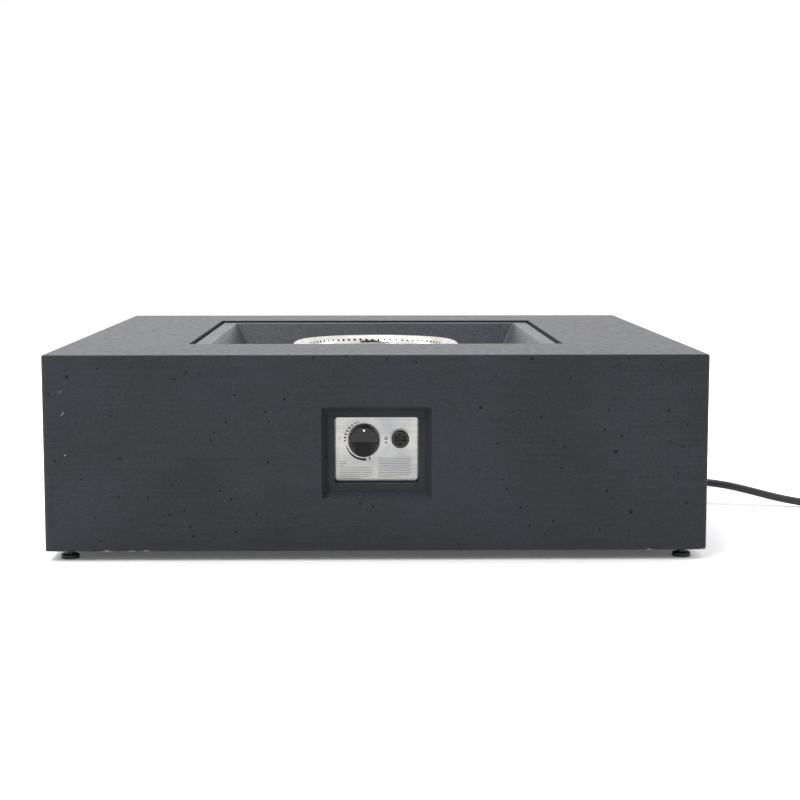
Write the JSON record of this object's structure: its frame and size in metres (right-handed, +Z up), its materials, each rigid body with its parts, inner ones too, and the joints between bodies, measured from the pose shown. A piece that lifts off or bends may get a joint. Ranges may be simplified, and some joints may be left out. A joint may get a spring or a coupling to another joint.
{
  "type": "gas fire pit table",
  "caption": "Low square concrete gas fire table: hollow casing, drop-in fire bowl, stainless ring burner, recessed push-turn knob and igniter, levelling feet and hose with regulator.",
  "frame": {"origin": "on the ground under the middle of the casing", "axes": "+Z up, control panel facing -Y, hose leaving the +X side"},
  "size_m": [1.387, 0.89, 0.2792],
  "materials": {
    "concrete_casing": "cast fibre concrete, smooth, with pin holes",
    "concrete_bowl": "cast fibre concrete, smooth",
    "pan_steel": "black high-temperature paint",
    "burner_stainless": "polished stainless tube",
    "panel_stainless": "brushed stainless sheet",
    "zinc_plate": "galvanised sheet",
    "screw_steel": "zinc plated",
    "spring_steel": "drawn wire",
    "brass_fittings": "turned",
    "valve_casting": "die cast",
    "aluminium_pipe": "drawn tube",
    "knob_plastic": "satin black",
    "igniter_plastic": "gloss black",
    "button_plastic": "fine grained black",
    "battery_case": "plain printed sleeve",
    "ceramic_white": "glazed",
    "probe_steel": "heat tinted",
    "wire_silicone": "silicone sleeve",
    "foot_plastic": "moulded black",
    "hose_rubber": "smooth black hose",
    "bushing_rubber": "moulded",
    "regulator_casting": "grey painted casting",
    "tap_plastic": "moulded red"
  },
  "bodies": {
    "fire_pit": {"casing": "concrete_casing", "fire_bowl": "concrete_bowl", "burner_pan": "pan_steel", "ring_front": "burner_stainless", "ring_back": "burner_stainless", "burner_crossbar": "burner_stainless", "control_panel": "panel_stainless", "heat_shield": "zinc_plate", "pipe_brackets": "zinc_plate", "probe_bracket": "zinc_plate", "pan_screws": "screw_steel", "panel_screws": "screw_steel", "valve_screws": "screw_steel", "bracket_screws": "screw_steel", "shield_spacers": "screw_steel", "shield_nuts": "screw_steel", "foot_inserts": "screw_steel", "panel_inserts": "screw_steel", "hose_clip": "screw_steel", "burner_nuts": "screw_steel", "valve_spring": "spring_steel", "battery_spring": "spring_steel", "air_mixer": "brass_fittings", "burner_elbow": "brass_fittings", "pipe_nuts": "brass_fittings", "inlet_elbow": "brass_fittings", "hose_ferrule": "brass_fittings", "gas_valve": "valve_casting", "feed_pipe": "aluminium_pipe", "supply_pipe": "aluminium_pipe", "igniter_housing": "igniter_plastic", "igniter_nut": "igniter_plastic", "battery": "battery_case", "spark_electrode": "ceramic_white", "thermocouple": "probe_steel", "thermocouple_lead": "probe_steel", "ignition_wire": "wire_silicone", "hose_tail": "hose_rubber", "gas_hose": "hose_rubber", "hose_coil": "hose_rubber", "hose_end": "hose_rubber", "hose_bushing": "bushing_rubber", "regulator_seal": "bushing_rubber", "regulator": "regulator_casting"},
    "shaft_slide": {"thrust_washer": "screw_steel"},
    "knob": {"control_knob": "knob_plastic", "valve_shaft": "screw_steel"},
    "igniter_cap": {"igniter_cap": "igniter_plastic", "button_spring": "spring_steel"},
    "igniter_button": {"igniter_button": "button_plastic"},
    "foot_front_left": {"foot_front_left": "foot_plastic"},
    "foot_front_right": {"foot_front_right": "foot_plastic"},
    "foot_back_left": {"foot_back_left": "foot_plastic"},
    "foot_back_right": {"foot_back_right": "foot_plastic"},
    "regulator_tap": {"regulator_tap": "tap_plastic"}
  },
  "joints": [
    {"name": "knob_push", "type": "slide", "parent": "fire_pit", "child": "shaft_slide", "axis": [0, 1, 0], "range_m": [0, 0.0028], "stiffness_N_per_m": 2000, "springref_m": -0.001, "deforming": ["valve_spring"]},
    {"name": "knob_turn", "type": "hinge", "parent": "shaft_slide", "child": "knob", "pos_m": [-0.017, -0.407, 0.1587], "axis": [0, -1, 0], "range_deg": [0, 180]},
    {"name": "igniter_cap_off", "type": "slide", "parent": "fire_pit", "child": "igniter_cap", "axis": [0, -1, 0], "range_m": [0, 0.03]},
    {"name": "igniter_push", "type": "slide", "parent": "igniter_cap", "child": "igniter_button", "axis": [0, 1, 0], "range_m": [0, 0.002], "stiffness_N_per_m": 400, "springref_m": -0.001, "deforming": ["button_spring"]},
    {"name": "foot_front_left_level", "type": "slide", "parent": "fire_pit", "child": "foot_front_left", "axis": [0, 0, -1], "range_m": [0, 0.012]},
    {"name": "foot_front_right_level", "type": "slide", "parent": "fire_pit", "child": "foot_front_right", "axis": [0, 0, -1], "range_m": [0, 0.012]},
    {"name": "foot_back_left_level", "type": "slide", "parent": "fire_pit", "child": "foot_back_left", "axis": [0, 0, -1], "range_m": [0, 0.012]},
    {"name": "foot_back_right_level", "type": "slide", "parent": "fire_pit", "child": "foot_back_right", "axis": [0, 0, -1], "range_m": [0, 0.012]},
    {"name": "regulator_tap_turn", "type": "hinge", "parent": "fire_pit", "child": "regulator_tap", "pos_m": [0.911, 0.201, 0.035], "axis": [0, 1, 0], "range_deg": [0, 90]}
  ]
}
